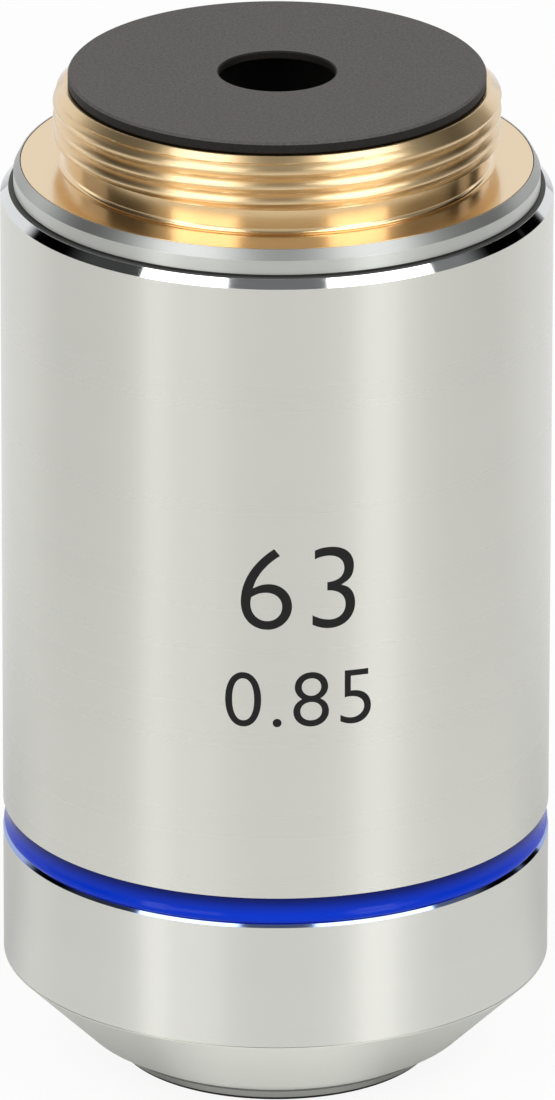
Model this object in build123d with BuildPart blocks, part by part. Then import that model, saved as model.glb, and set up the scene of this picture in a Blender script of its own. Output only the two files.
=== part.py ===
from build123d import *
import os

# Microscope objective, standing on its tip. Millimetres, +Z up along the optical axis towards the
# mounting thread. The origin is on the axis, in the plane of the tip's front face.

# Mounting ring
thread_radius = 10.115      # major radius of the 0.7965 inch, 36 turns per inch thread
thread_length = 2.55        # relief groove to the ring's top
thread_chamfer = 0.5        # lead-in at the top
relief_depth = 0.515        # relief groove below the thread
relief_height = 1.1         # locating shoulder to the thread
flange_overhang = 1.455     # shoulder's edge outside the thread
flange_thickness = 0.9      # shoulder flange in the rim
face_relief_depth = 0.05    # recess in the shoulder's inner part, under the thread's crests
face_relief_margin = 0.1    # how far that recess reaches past the thread
mount_spigot_length = 3.5   # threaded part below the flange
mount_wall = 1.6            # relief groove to the bore for the rear stop

# Main barrel and its rim
rim_gap = 0.11              # open seam between the sleeve and the rim
rim_height = 0.67           # plain wall of the rim
rim_bevel_height = 0.46     # polished bevel above it
rim_bevel_width = 0.25
rim_land = 0.05             # flat edge round the brass shoulder
flange_seat_width = 1.0     # ledge that the mounting ring's flange lies on
spring_ledge_width = 1.15   # ledge that the spring seat lies on
barrel_wall = 1.14          # round the nose's threaded end

# Cover sleeve
body_step = 0.6             # sleeve's face outside the rim's wall
nose_height = 5.0           # tip face to the sleeve's lower edge
sleeve_length = 37.05       # sleeve's lower edge to its top
sleeve_wall = 0.75
sleeve_bevel = 0.36         # polished bevel round the sleeve's top edge
edge_break = 0.06           # small bevel at seams
bond_gap = 0.03             # radial gap of a glued or screwed joint
overrun = 1.0               # how far cutters run past the material

# Colour ring
ring_rise = 6.07            # sleeve's lower edge to the groove's lower edge
ring_height = 1.26          # width of the groove
groove_depth = 0.35
groove_bevel = 0.18         # polished bevel at the groove's lower edge
ring_recess = 0.08          # ring's face below the sleeve's face

# Rear stop
stop_margin = 0.18          # black disc's edge inside the mounting ring's top edge
stop_thickness = 0.5        # visible black disc
stop_undercut = 0.25        # step under the disc's edge
stop_undercut_height = 0.06
stop_edge_bevel = 0.1       # bevel round the disc
aperture_radius = 2.65      # round aperture
aperture_bevel = 0.06       # bevel round the aperture
aperture_web = 0.35         # thickness of the wall with the aperture
stop_spigot_length = 3.4    # part inside the mounting ring
stop_spigot_wall = 1.6      # wall of that part

# Nose cone
mouth_height = 0.97         # tip face to the nose's mouth
mouth_length = 1.6          # length of the bore that the tip moves in
mouth_lip = 0.7             # that bore's wall inwards from the room behind it
nose_land = 1.0             # mouth to where the flat cone turns into the steep one
nose_break_rise = 0.56      # mouth to that turn
nose_spigot_length = 3.8    # seam to the spigot's end, which is the lens barrel's stop
stop_width = 0.7            # how far that end reaches under the lens barrel

# Lens barrel and what it slides in
slide_gap = 0.05            # radial running gap in the guide bore
tip_gap = 0.1               # radial gap round the tip
tip_travel = 0.9            # how far the tip can be pushed in
tip_top = 4.0               # tip face to the lens barrel's lower end
skirt_gap = 0.4             # radial gap inside the nose
neck_wall = 0.85            # wall inside the spring
neck_end_margin = 0.6       # left under the spring seat when the tip is pushed in
cell_gap = 0.03             # radial gap round a lens cell
web_rise = 0.2              # lens barrel's stop shoulder to its inner web
web_thickness = 0.6         # inner web that the cells stand on
web_width = 2.4             # how far the web reaches inwards

# Spring and its seat
spring_length = 8.0         # between its two seats at rest
spring_turns = 5.5
wire_diameter = 0.9
wire_sides = 12             # sides of the wire's section
spring_gap = 0.25           # radial gap outside the spring
neck_gap = 0.25             # radial gap inside the spring
seat_thickness = 1.5        # slotted ring above the spring
seat_clearance = 0.3        # radial gap between the neck and that ring
stack_headroom = 1.0        # neck's end above the lock ring

# Guide pin and centring screws
pin_radius = 0.75
pin_rise = 9.2              # lens barrel's stop shoulder to the pin
pin_angle = 90.0
pin_depth = 0.95            # how far the pin reaches into the slot
pin_inset = 0.1             # pin's outer end below the main barrel's face
slot_floor_gap = 0.2        # end of the pin to the slot's floor
slot_side_gap = 0.08        # beside the pin
slot_end_gap = 0.12         # beyond the pin's travel
screw_radius = 0.8
screw_count = 3
screw_angle = 30.0          # first screw, between the pin and the next
screw_inset = 0.2           # screw's head below the lens barrel's face
screw_socket_radius = 0.4
screw_socket_depth = 0.7
drive_slot_width = 1.2      # slots of the slotted rings
drive_slot_depth = 0.7

# Front cell and front lens
front_lens_radius = 2.4
front_lens_edge = 0.4
front_lens_sag = 2.0
front_seat_width = 0.5      # lip that the front lens lies on
front_seat_depth = 1.1      # bore that centres the front lens
front_recess = 0.3          # front lens above the tip's face
dish_margin = 0.8           # shallow dish round the front lens
dish_depth = 0.15
foot_rise = 0.2             # height of the tip's first, flat bevel
foot_bevel_width = 0.62
tip_bevel_width = 0.68      # second bevel, at 45 degrees
tip_shoulder = 1.0          # tip's face to its threaded part
tip_spigot_wall = 1.5       # threaded part to the meniscus cell's bore
tip_end_gap = 0.6           # threaded part's end below the lens barrel's web
meniscus_seat_rise = 3.3    # front lens's flat face to the meniscus cell
meniscus_seat_width = 0.8   # ledge that the meniscus cell lies on

# Lens cells: outer ledge under the glass, then the bore round it
glass_gap = 0.02            # radial gap round a glass edge
seat_width = 0.4            # flat ring round each curved face
ledge_height = 0.8
meniscus_cell_wall = 2.15
meniscus_cell_height = 3.6
meniscus_edge = 1.0
meniscus_low_sag = -0.7     # negative is hollow
meniscus_high_sag = 1.1
doublet_cell_wall_1 = 2.95
doublet_cell_wall_2 = 2.15
doublet_cell_height = 5.0
flint_edge = 2.0
flint_low_sag = -0.4
cement_sag = 1.0            # the crown bulges this far into the flint
crown_edge = 1.2
crown_high_sag = 0.9
spacer_height_1 = 2.0       # the second spacer fills what is left
spacer_wall = 1.1
rear_cell_wall = 2.75
rear_cell_height = 5.2
rear_crown_edge = 2.2
rear_crown_low_sag = 0.5
rear_cement_sag = 0.8       # the rear crown bulges this far into the rear flint
rear_flint_edge = 2.1
rear_flint_high_sag = -0.8
lock_ring_height = 1.6
lock_ring_wall = 2.0

# Radii outwards from the standard thread
relief_radius = thread_radius - relief_depth
mount_bore_radius = relief_radius - mount_wall
face_relief_radius = thread_radius + face_relief_margin
flange_radius = thread_radius + flange_overhang
rim_bore = flange_radius + bond_gap
rim_radius = rim_bore + rim_land + rim_bevel_width
body_radius = rim_radius + body_step
stop_radius = thread_radius - thread_chamfer - stop_margin

# Radii inwards from the sleeve and the rim
sleeve_bore = body_radius - sleeve_wall
barrel_radius = sleeve_bore - bond_gap
top_bore_radius = rim_bore - flange_seat_width
guide_radius = top_bore_radius - spring_ledge_width
slider_radius = guide_radius - slide_gap
coil_radius = guide_radius - spring_gap - wire_diameter / 2
neck_radius = coil_radius - wire_diameter / 2 - neck_gap
stack_radius = neck_radius - neck_wall
cell_radius = stack_radius - cell_gap
web_radius = stack_radius - web_width
doublet_radius_1 = cell_radius - doublet_cell_wall_1 - glass_gap
doublet_radius_2 = cell_radius - doublet_cell_wall_2 - glass_gap
rear_radius = cell_radius - rear_cell_wall - glass_gap

# Radii of the nose and the tip
nose_spigot_radius = barrel_radius - barrel_wall - bond_gap
nose_bore_radius = slider_radius - stop_width
skirt_radius = nose_bore_radius - skirt_gap
mouth_radius = nose_bore_radius - mouth_lip
nose_break_radius = mouth_radius + nose_land
tip_radius = mouth_radius - tip_gap
foot_bevel_radius = tip_radius - tip_bevel_width
foot_radius = foot_bevel_radius - foot_bevel_width
dish_radius = front_lens_radius + dish_margin
front_aperture = front_lens_radius - front_seat_width
tip_spigot_radius = tip_radius - tip_shoulder
front_bore_radius = tip_spigot_radius - tip_spigot_wall
meniscus_seat_radius = front_bore_radius - meniscus_seat_width
meniscus_radius = front_bore_radius - cell_gap - meniscus_cell_wall - glass_gap

# Heights from the seams
sleeve_top = nose_height + sleeve_length
ring_bottom = nose_height + ring_rise
stop_height = nose_height + nose_spigot_length
rim_bottom = sleeve_top + rim_gap
shoulder_height = rim_bottom + rim_height + rim_bevel_height
flange_bottom = shoulder_height - flange_thickness
thread_bottom = shoulder_height + relief_height
mount_top = thread_bottom + thread_length
disc_bottom = mount_top + stop_undercut_height
disc_top = disc_bottom + stop_thickness

# Heights inside, downwards from the mounting ring
spigot_bottom = flange_bottom - mount_spigot_length
spring_top = spigot_bottom - seat_thickness
spring_bottom = spring_top - spring_length
neck_top = spring_top - tip_travel - neck_end_margin
lock_ring_bottom = neck_top - stack_headroom - lock_ring_height
rear_cell_bottom = lock_ring_bottom - rear_cell_height

# Heights inside, upwards from the lens barrel's web
web_bottom = stop_height + web_rise
cell_1_bottom = web_bottom + web_thickness
spacer_1_bottom = cell_1_bottom + doublet_cell_height
cell_2_bottom = spacer_1_bottom + spacer_height_1
spacer_2_bottom = cell_2_bottom + doublet_cell_height
screw_height = cell_2_bottom + doublet_cell_height / 2
pin_height = stop_height + pin_rise

# Heights inside the tip
meniscus_cell_bottom = front_recess + meniscus_seat_rise
tip_spigot_top = web_bottom - tip_end_gap


def radial_plane(angle, height):
    """Plane through the optical axis that faces outwards at an angle round it."""
    outward = Vector(1, 0, 0).rotate(Axis.Z, angle)
    sideways = Vector(0, 1, 0).rotate(Axis.Z, angle)
    return Plane(origin=(0, 0, height), x_dir=sideways, z_dir=outward)


def lens_element(low, radius, edge, low_sag, high_sag, flat=seat_width):
    """Round lens with a flat ring beside each curved face; a positive sag bulges outwards."""
    clear = radius - flat
    high = low + edge
    with BuildPart() as element:
        with BuildSketch(Plane.XZ):
            with BuildLine():
                if low_sag:
                    TangentArc((0, low - low_sag), (clear, low), tangent=(1, 0))
                else:
                    Line((0, low), (clear, low))
                if flat:
                    Line((clear, low), (radius, low))
                Line((radius, low), (radius, high))
                if flat:
                    Line((radius, high), (clear, high))
                TangentArc((0, high + high_sag), (clear, high), tangent=(1, 0))
                Line((0, high + high_sag), (0, low - low_sag))
            make_face()
        revolve(axis=Axis.Z)
    return element.part


def lens_cell(low, height, outer, glass):
    """Ring with a ledge that the glass lies on and a bore that centres it."""
    with BuildPart() as cell:
        with BuildSketch(Plane.XY.offset(low)):
            Circle(outer)
            Circle(glass - seat_width, mode=Mode.SUBTRACT)
        extrude(amount=height)
        with BuildSketch(Plane.XY.offset(low + ledge_height)):
            Circle(glass + glass_gap)
        extrude(amount=height, mode=Mode.SUBTRACT)
        chamfer(cell.edges().filter_by(GeomType.CIRCLE).sort_by(SortBy.RADIUS)[-2:], edge_break)
    return cell.part


def plain_ring(low, height, outer, inner):
    """Plain ring, such as a spacer."""
    with BuildPart() as ring:
        with BuildSketch(Plane.XY.offset(low)):
            Circle(outer)
            Circle(inner, mode=Mode.SUBTRACT)
        extrude(amount=height)
    return ring.part


def slotted_ring(low, height, outer, inner):
    """Threaded ring with a pair of driver slots in its upper face."""
    with BuildPart() as ring:
        with BuildSketch(Plane.XY.offset(low)):
            Circle(outer)
            Circle(inner, mode=Mode.SUBTRACT)
        extrude(amount=height)
        with BuildSketch(Plane.XY.offset(low + height - drive_slot_depth)):
            Rectangle(2 * outer + overrun, drive_slot_width)
        extrude(amount=drive_slot_depth + overrun, mode=Mode.SUBTRACT)
    return ring.part


os.makedirs("parts", exist_ok=True)

# Cover sleeve with its polished top bevel and the groove for the colour ring
with BuildPart() as outer_sleeve:
    with BuildSketch(Plane.XY.offset(nose_height)):
        Circle(body_radius)
        Circle(sleeve_bore, mode=Mode.SUBTRACT)
    extrude(amount=sleeve_length)
    with BuildSketch(Plane.XY.offset(ring_bottom)):
        Circle(body_radius + overrun)
        Circle(body_radius - groove_depth, mode=Mode.SUBTRACT)
    extrude(amount=ring_height, mode=Mode.SUBTRACT)
    rims = outer_sleeve.edges().filter_by(GeomType.CIRCLE).group_by(SortBy.RADIUS)[-1].sort_by(Axis.Z)
    chamfer(rims[0], edge_break)
    chamfer(rims[1], groove_bevel)
    chamfer(rims[-1], sleeve_bevel)
outer_sleeve.part.label = "outer_sleeve"
export_step(outer_sleeve.part, "parts/outer_sleeve.step")

# Enamel ring in the sleeve's groove
with BuildPart() as color_ring:
    with BuildSketch(Plane.XY.offset(ring_bottom)):
        Circle(body_radius - ring_recess)
        Circle(body_radius - groove_depth + bond_gap, mode=Mode.SUBTRACT)
    extrude(amount=ring_height)
color_ring.part.label = "color_ring"
export_step(color_ring.part, "parts/color_ring.step")

# Main barrel: guide bore, seats at both ends and the bevelled rim round the brass shoulder
with BuildPart() as main_barrel:
    with BuildSketch(Plane.XZ):
        with BuildLine():
            Polyline(
                (nose_spigot_radius + bond_gap, nose_height),
                (barrel_radius, nose_height),
                (barrel_radius, rim_bottom),
                (rim_radius, rim_bottom),
                (rim_radius, rim_bottom + rim_height),
                (rim_radius - rim_bevel_width, shoulder_height),
                (rim_bore, shoulder_height),
                (rim_bore, flange_bottom),
                (top_bore_radius, flange_bottom),
                (top_bore_radius, spring_top),
                (guide_radius, spring_top),
                (guide_radius, stop_height),
                (nose_spigot_radius + bond_gap, stop_height),
                close=True,
            )
        make_face()
    revolve(axis=Axis.Z)
    with BuildSketch(radial_plane(pin_angle, pin_height)):
        Circle(pin_radius + bond_gap)
    extrude(amount=body_radius, mode=Mode.SUBTRACT)
main_barrel.part.label = "main_barrel"
export_step(main_barrel.part, "parts/main_barrel.step")

# Brass mounting ring: thread blank at its major radius, relief groove and locating shoulder
with BuildPart() as mounting_ring:
    with BuildSketch(Plane.XZ):
        with BuildLine():
            Polyline(
                (mount_bore_radius, spigot_bottom),
                (top_bore_radius - bond_gap, spigot_bottom),
                (top_bore_radius - bond_gap, flange_bottom),
                (flange_radius, flange_bottom),
                (flange_radius, shoulder_height),
                (face_relief_radius, shoulder_height),
                (face_relief_radius, shoulder_height - face_relief_depth),
                (relief_radius, shoulder_height - face_relief_depth),
                (relief_radius, thread_bottom),
                (thread_radius, thread_bottom),
                (thread_radius, mount_top - thread_chamfer),
                (thread_radius - thread_chamfer, mount_top),
                (mount_bore_radius, mount_top),
                close=True,
            )
        make_face()
    revolve(axis=Axis.Z)
mounting_ring.part.label = "mounting_ring"
export_step(mounting_ring.part, "parts/mounting_ring.step")

# Black rear stop: disc with the aperture, and a tubular end inside the mounting ring
with BuildPart() as rear_stop:
    with BuildSketch(Plane.XZ):
        with BuildLine():
            Polyline(
                (aperture_radius, disc_top - aperture_web),
                (aperture_radius, disc_top - aperture_bevel),
                (aperture_radius + aperture_bevel, disc_top),
                (stop_radius - stop_edge_bevel, disc_top),
                (stop_radius, disc_top - stop_edge_bevel),
                (stop_radius, disc_bottom),
                (stop_radius - stop_undercut, disc_bottom),
                (stop_radius - stop_undercut, mount_top),
                (mount_bore_radius - bond_gap, mount_top),
                (mount_bore_radius - bond_gap, mount_top - stop_spigot_length),
                (mount_bore_radius - stop_spigot_wall, mount_top - stop_spigot_length),
                (mount_bore_radius - stop_spigot_wall, disc_top - aperture_web),
                close=True,
            )
        make_face()
    revolve(axis=Axis.Z)
rear_stop.part.label = "rear_stop"
export_step(rear_stop.part, "parts/rear_stop.step")

# Nose cone: two outer cones, the mouth that guides the tip, and the end that stops the lens barrel
with BuildPart() as nose_cone:
    with BuildSketch(Plane.XZ):
        with BuildLine():
            Polyline(
                (mouth_radius, mouth_height),
                (nose_break_radius, mouth_height + nose_break_rise),
                (body_radius, nose_height - edge_break),
                (body_radius - edge_break, nose_height),
                (nose_spigot_radius, nose_height),
                (nose_spigot_radius, stop_height),
                (nose_bore_radius, stop_height),
                (nose_bore_radius, mouth_height + mouth_length),
                (mouth_radius, mouth_height + mouth_length),
                close=True,
            )
        make_face()
    revolve(axis=Axis.Z)
nose_cone.part.label = "nose_cone"
export_step(nose_cone.part, "parts/nose_cone.step")

# Lens barrel: slides in the guide bore, carries the tip below and the stack of cells above
with BuildPart() as lens_barrel:
    with BuildSketch(Plane.XZ):
        with BuildLine():
            Polyline(
                (tip_spigot_radius + bond_gap, tip_top),
                (skirt_radius, tip_top),
                (skirt_radius, stop_height),
                (slider_radius, stop_height),
                (slider_radius, spring_bottom),
                (neck_radius, spring_bottom),
                (neck_radius, neck_top),
                (stack_radius, neck_top),
                (stack_radius, cell_1_bottom),
                (web_radius, cell_1_bottom),
                (web_radius, web_bottom),
                (tip_spigot_radius + bond_gap, web_bottom),
                close=True,
            )
        make_face()
    revolve(axis=Axis.Z)
    slot_length = tip_travel + 2 * (pin_radius + slot_end_gap)
    slot_floor = slider_radius - pin_depth - slot_floor_gap
    with BuildSketch(radial_plane(pin_angle, pin_height - tip_travel / 2).offset(slot_floor)):
        Rectangle(2 * (pin_radius + slot_side_gap), slot_length)
    extrude(amount=guide_radius - slot_floor, mode=Mode.SUBTRACT)
    for turn in range(screw_count):
        with BuildSketch(radial_plane(screw_angle + turn * 360 / screw_count, screw_height)):
            Circle(screw_radius + bond_gap)
        extrude(amount=guide_radius, mode=Mode.SUBTRACT)
lens_barrel.part.label = "lens_barrel"
export_step(lens_barrel.part, "parts/lens_barrel.step")

# Coil spring with ground ends, between the lens barrel's shoulder and the spring seat
with BuildPart() as coil_spring:
    with BuildLine(Plane.XY.offset(spring_bottom)) as wire_path:
        Helix(pitch=spring_length / spring_turns, height=spring_length, radius=coil_radius)
    with BuildSketch(wire_path.line ^ 0):
        RegularPolygon(wire_diameter / 2, side_count=wire_sides)
    sweep(is_frenet=True)
    with BuildSketch(Plane.XY.offset(spring_bottom)):
        Circle(guide_radius)
    extrude(amount=spring_length, mode=Mode.INTERSECT)
coil_spring.part.label = "coil_spring"
export_step(coil_spring.part, "parts/coil_spring.step")

# Guide pin in the main barrel's wall
with BuildPart() as guide_pin:
    with BuildSketch(radial_plane(pin_angle, pin_height).offset(slider_radius - pin_depth)):
        Circle(pin_radius)
    extrude(amount=barrel_radius - pin_inset - slider_radius + pin_depth)
    chamfer(guide_pin.edges().filter_by(GeomType.CIRCLE), edge_break)
guide_pin.part.label = "guide_pin"
export_step(guide_pin.part, "parts/guide_pin.step")

# Grub screws that bear on the second doublet's cell
with BuildPart() as centering_screws:
    for turn in range(screw_count):
        facing = radial_plane(screw_angle + turn * 360 / screw_count, screw_height)
        with BuildSketch(facing.offset(cell_radius)):
            Circle(screw_radius)
        extrude(amount=slider_radius - screw_inset - cell_radius)
        with BuildSketch(facing.offset(slider_radius - screw_inset - screw_socket_depth)):
            RegularPolygon(screw_socket_radius, side_count=6)
        extrude(amount=screw_socket_depth, mode=Mode.SUBTRACT)
centering_screws.part.label = "centering_screws"
export_step(centering_screws.part, "parts/centering_screws.step")

# Front cell: the visible tip, the front lens's seat and the bore for the meniscus cell
with BuildPart() as front_cell:
    with BuildSketch(Plane.XZ):
        with BuildLine():
            Polyline(
                (front_aperture, dish_depth),
                (dish_radius, 0),
                (foot_radius, 0),
                (foot_bevel_radius, foot_rise),
                (tip_radius, foot_rise + tip_bevel_width),
                (tip_radius, tip_top),
                (tip_spigot_radius, tip_top),
                (tip_spigot_radius, tip_spigot_top),
                (front_bore_radius, tip_spigot_top),
                (front_bore_radius, meniscus_cell_bottom),
                (meniscus_seat_radius, meniscus_cell_bottom),
                (front_lens_radius + glass_gap, front_recess + front_seat_depth),
                (front_lens_radius + glass_gap, front_recess),
                (front_aperture, front_recess),
                close=True,
            )
        make_face()
    revolve(axis=Axis.Z)
front_cell.part.label = "front_cell"
export_step(front_cell.part, "parts/front_cell.step")

# Everything that lies in the tip and in the lens barrel, from the front to the back
meniscus_low = meniscus_cell_bottom + ledge_height
flint_low_1 = cell_1_bottom + ledge_height
flint_low_2 = cell_2_bottom + ledge_height
rear_low = rear_cell_bottom + ledge_height
flint_shape = (flint_edge, flint_low_sag, -cement_sag)
crown_shape = (crown_edge, cement_sag, crown_high_sag)
stack = {
    "front_lens": lens_element(front_recess, front_lens_radius, front_lens_edge, 0, front_lens_sag, 0),
    "meniscus_cell": lens_cell(
        meniscus_cell_bottom, meniscus_cell_height, front_bore_radius - cell_gap, meniscus_radius
    ),
    "meniscus_lens": lens_element(
        meniscus_low, meniscus_radius, meniscus_edge, meniscus_low_sag, meniscus_high_sag
    ),
    "doublet_cell_1": lens_cell(cell_1_bottom, doublet_cell_height, cell_radius, doublet_radius_1),
    "doublet_1_flint": lens_element(flint_low_1, doublet_radius_1, *flint_shape),
    "doublet_1_crown": lens_element(flint_low_1 + flint_edge, doublet_radius_1, *crown_shape),
    "spacer_1": plain_ring(spacer_1_bottom, spacer_height_1, cell_radius, cell_radius - spacer_wall),
    "doublet_cell_2": lens_cell(cell_2_bottom, doublet_cell_height, cell_radius, doublet_radius_2),
    "doublet_2_flint": lens_element(flint_low_2, doublet_radius_2, *flint_shape),
    "doublet_2_crown": lens_element(flint_low_2 + flint_edge, doublet_radius_2, *crown_shape),
    "spacer_2": plain_ring(
        spacer_2_bottom, rear_cell_bottom - spacer_2_bottom, cell_radius, cell_radius - spacer_wall
    ),
    "rear_cell": lens_cell(rear_cell_bottom, rear_cell_height, cell_radius, rear_radius),
    "rear_crown": lens_element(
        rear_low, rear_radius, rear_crown_edge, rear_crown_low_sag, rear_cement_sag
    ),
    "rear_flint": lens_element(
        rear_low + rear_crown_edge, rear_radius, rear_flint_edge, -rear_cement_sag, rear_flint_high_sag
    ),
    "lens_lock_ring": slotted_ring(
        lock_ring_bottom, lock_ring_height, cell_radius, cell_radius - lock_ring_wall
    ),
    "spring_seat": slotted_ring(
        spring_top, seat_thickness, top_bore_radius - bond_gap, neck_radius + seat_clearance
    ),
}
for name, piece in stack.items():
    piece.label = name
    export_step(piece, f"parts/{name}.step")
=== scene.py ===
"""Looks of a microscope objective that stands on its tip with the mounting thread up.

Every turned piece that shows is a fine surface of revolution laid over its solid of the frame, the
mounting thread is cut as a real helix, and every finish is made of shader nodes. Metres throughout;
small sizes are written in millimetres times MM.
"""

import logging
import math
from collections.abc import Sequence
from dataclasses import dataclass, field, replace
from enum import Enum

import bmesh
import bpy
import numpy as np
from mathutils import Matrix, Vector


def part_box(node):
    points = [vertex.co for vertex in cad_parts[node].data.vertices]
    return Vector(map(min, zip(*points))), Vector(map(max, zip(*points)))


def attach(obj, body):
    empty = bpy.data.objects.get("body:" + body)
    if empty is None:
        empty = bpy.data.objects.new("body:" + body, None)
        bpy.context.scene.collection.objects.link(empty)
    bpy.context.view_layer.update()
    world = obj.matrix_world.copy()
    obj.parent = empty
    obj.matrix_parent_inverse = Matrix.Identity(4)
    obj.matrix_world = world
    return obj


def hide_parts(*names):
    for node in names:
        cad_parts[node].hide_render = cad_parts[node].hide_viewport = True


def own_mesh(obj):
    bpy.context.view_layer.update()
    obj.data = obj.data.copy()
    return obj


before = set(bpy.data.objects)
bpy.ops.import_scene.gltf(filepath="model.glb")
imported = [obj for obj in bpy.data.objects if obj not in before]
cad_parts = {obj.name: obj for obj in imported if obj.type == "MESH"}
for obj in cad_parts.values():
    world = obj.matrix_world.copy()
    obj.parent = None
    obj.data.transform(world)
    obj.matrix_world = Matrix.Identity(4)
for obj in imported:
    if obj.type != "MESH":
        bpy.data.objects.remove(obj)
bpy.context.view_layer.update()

MM = 0.001
INCH = 25.4 * MM
FRONT = -math.pi / 2
CREASE = 32.0
Color = tuple[float, float, float]
Span = tuple[float, float]
Socket = bpy.types.NodeSocket
Value = Socket | float
Node = bpy.types.Node
Tree = bpy.types.ShaderNodeTree
Material = bpy.types.Material
Mesh = bpy.types.Mesh
Piece = bpy.types.Object

log = logging.getLogger("objective")


class Side(Enum):
    """Bodies of the frame that pieces ride on."""

    FIXED = "barrel"
    SLIDING = "lens_unit"


class Slot(Enum):
    """Material slots of the record that the pieces here have."""

    SATIN = "satin_chrome"
    BRIGHT = "bright_chrome"
    BRASS = "bare_brass"
    ANODISED = "black_anodised"
    ENAMEL = "blue_enamel"
    STEEL = "spring_steel"


# Node groups


class Kind(Enum):
    """Kinds of sockets that the node groups use."""

    FLOAT = "NodeSocketFloat"
    COLOR = "NodeSocketColor"


class Bench:
    """Short calls for adding and linking nodes in one node tree."""

    def __init__(self, tree: bpy.types.NodeTree) -> None:
        """Work on a tree."""
        self.tree = tree

    def add(self, kind: str) -> Node:
        """Add a node of a kind."""
        return self.tree.nodes.new(kind)

    def link(self, source: Socket, target: Socket) -> None:
        """Link two sockets."""
        self.tree.links.new(source, target)

    def feed(self, target: Socket, value: Value) -> None:
        """Give a socket a plain number or another socket's value.

        Args:
            target: Socket to feed.
            value: Socket or plain number.
        """
        if isinstance(value, (int, float)):
            target.default_value = value
        else:
            self.link(value, target)

    def math(self, operation: str, *values: Value) -> Socket:
        """Add a math node.

        Args:
            operation: Blender's name of the operation.
            values: Sockets or plain numbers, in order.

        Returns:
            The node's output.
        """
        node = self.add("ShaderNodeMath")
        node.operation = operation
        for target, value in zip(node.inputs, values):
            self.feed(target, value)
        return node.outputs[0]

    def product(self, first: Value, *others: Value) -> Value:
        """Multiply several values.

        Args:
            first: First value.
            others: The values that it is multiplied by, in order.

        Returns:
            Their product.
        """
        for other in others:
            first = self.math("MULTIPLY", first, other)
        return first

    def split(self, vector: Socket) -> list[Socket]:
        """Split a vector.

        Args:
            vector: Vector to split.

        Returns:
            Its X, Y and Z.
        """
        node = self.add("ShaderNodeSeparateXYZ")
        self.link(vector, node.inputs[0])
        return list(node.outputs)

    def length(self, *parts: Socket) -> Socket:
        """Length of a vector of two parts."""
        squares = [self.math("MULTIPLY", part, part) for part in parts]
        return self.math("SQRT", self.math("ADD", *squares))

    def noise(self, vector: Socket, scale: Value, octaves: float) -> Socket:
        """Add a noise texture.

        Args:
            vector: Coordinates.
            scale: Scale, as a socket or a plain number.
            octaves: Number of octaves.

        Returns:
            The noise value, from 0 to 1.
        """
        node = self.add("ShaderNodeTexNoise")
        node.inputs["Detail"].default_value = octaves
        self.link(vector, node.inputs["Vector"])
        self.feed(node.inputs["Scale"], scale)
        return node.outputs["Fac"]

    def ramp(self, value: Socket, zero: float, one: float) -> Socket:
        """Spread the values between two limits over 0 to 1, smoothly.

        Args:
            value: Value to spread.
            zero: Value that becomes 0.
            one: Value that becomes 1.

        Returns:
            The spread value.
        """
        node = self.add("ShaderNodeMapRange")
        node.interpolation_type = "SMOOTHSTEP"
        node.inputs["From Min"].default_value = zero
        node.inputs["From Max"].default_value = one
        self.link(value, node.inputs["Value"])
        return node.outputs["Result"]


class GroupBuilder(Bench):
    """A shader node group while it is being built."""

    def __init__(self, name: str, **inputs: float | Color) -> None:
        """Start a group that has only its inputs.

        Args:
            name: Name of the group in plain words.
            inputs: Default of each input; a blank in its name is written as an underscore.
        """
        super().__init__(bpy.data.node_groups.new(name, "ShaderNodeTree"))
        for label, default in inputs.items():
            kind = Kind.COLOR if isinstance(default, tuple) else Kind.FLOAT
            socket = self.tree.interface.new_socket(
                name=label.replace("_", " "), in_out="INPUT", socket_type=kind.value
            )
            socket.default_value = (*default, 1.0) if isinstance(default, tuple) else default
        self.inlet = self.add("NodeGroupInput").outputs
        self.outlet = self.add("NodeGroupOutput").inputs

    def gives(self, name: str, source: Socket, kind: Kind = Kind.FLOAT) -> None:
        """Add a named output.

        Args:
            name: Output's name.
            source: Socket inside the group that feeds the output.
            kind: Kind of the output.
        """
        self.tree.interface.new_socket(name=name, in_out="OUTPUT", socket_type=kind.value)
        self.link(source, self.outlet[name])


def turning_group() -> Tree:
    """Fine circular tool lines of a lathe, round the optical axis.

    Returns:
        Group with the height of the lines and a slow tone that drifts along the piece.
    """
    waver_reach, tone_share, tone_span = 1e-4, 0.02, (0.3, 0.7)
    group = GroupBuilder("tool lines", Spacing=40e-6, Waver=0.15)
    across, away, height = group.split(group.add("ShaderNodeTexCoord").outputs["Object"])
    radius = group.length(across, away)
    turn = group.math("SINE", group.math("ARCTAN2", away, across))
    drift = group.product(turn, group.inlet["Waver"], waver_reach)
    join = group.add("ShaderNodeCombineXYZ")
    group.link(group.math("ADD", group.math("ADD", radius, height), drift), join.inputs["X"])
    group.link(group.math("SUBTRACT", radius, height), join.inputs["Y"])
    scale = group.math("DIVIDE", 1.0, group.inlet["Spacing"])
    lines = group.noise(join.outputs[0], scale, octaves=2.0)
    tone = group.noise(join.outputs[0], group.product(scale, tone_share), octaves=3.0)
    group.gives("Height", lines)
    group.gives("Tone", group.ramp(tone, *tone_span))
    return group.tree


def mottle_group() -> Tree:
    """Soft clouds and fine speckle, as on oxide, enamel or coated glass.

    Returns:
        Group with a mask of each.
    """
    group = GroupBuilder("mottle", Size=4e-3, Grain=60e-6)
    place = group.add("ShaderNodeTexCoord").outputs["Object"]
    masks = (("Clouds", "Size", 4.0, (0.35, 0.65)), ("Speckle", "Grain", 2.0, (0.3, 0.7)))
    for name, size, octaves, span in masks:
        noise = group.noise(place, group.math("DIVIDE", 1.0, group.inlet[size]), octaves)
        group.gives(name, group.ramp(noise, *span))
    return group.tree


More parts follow.
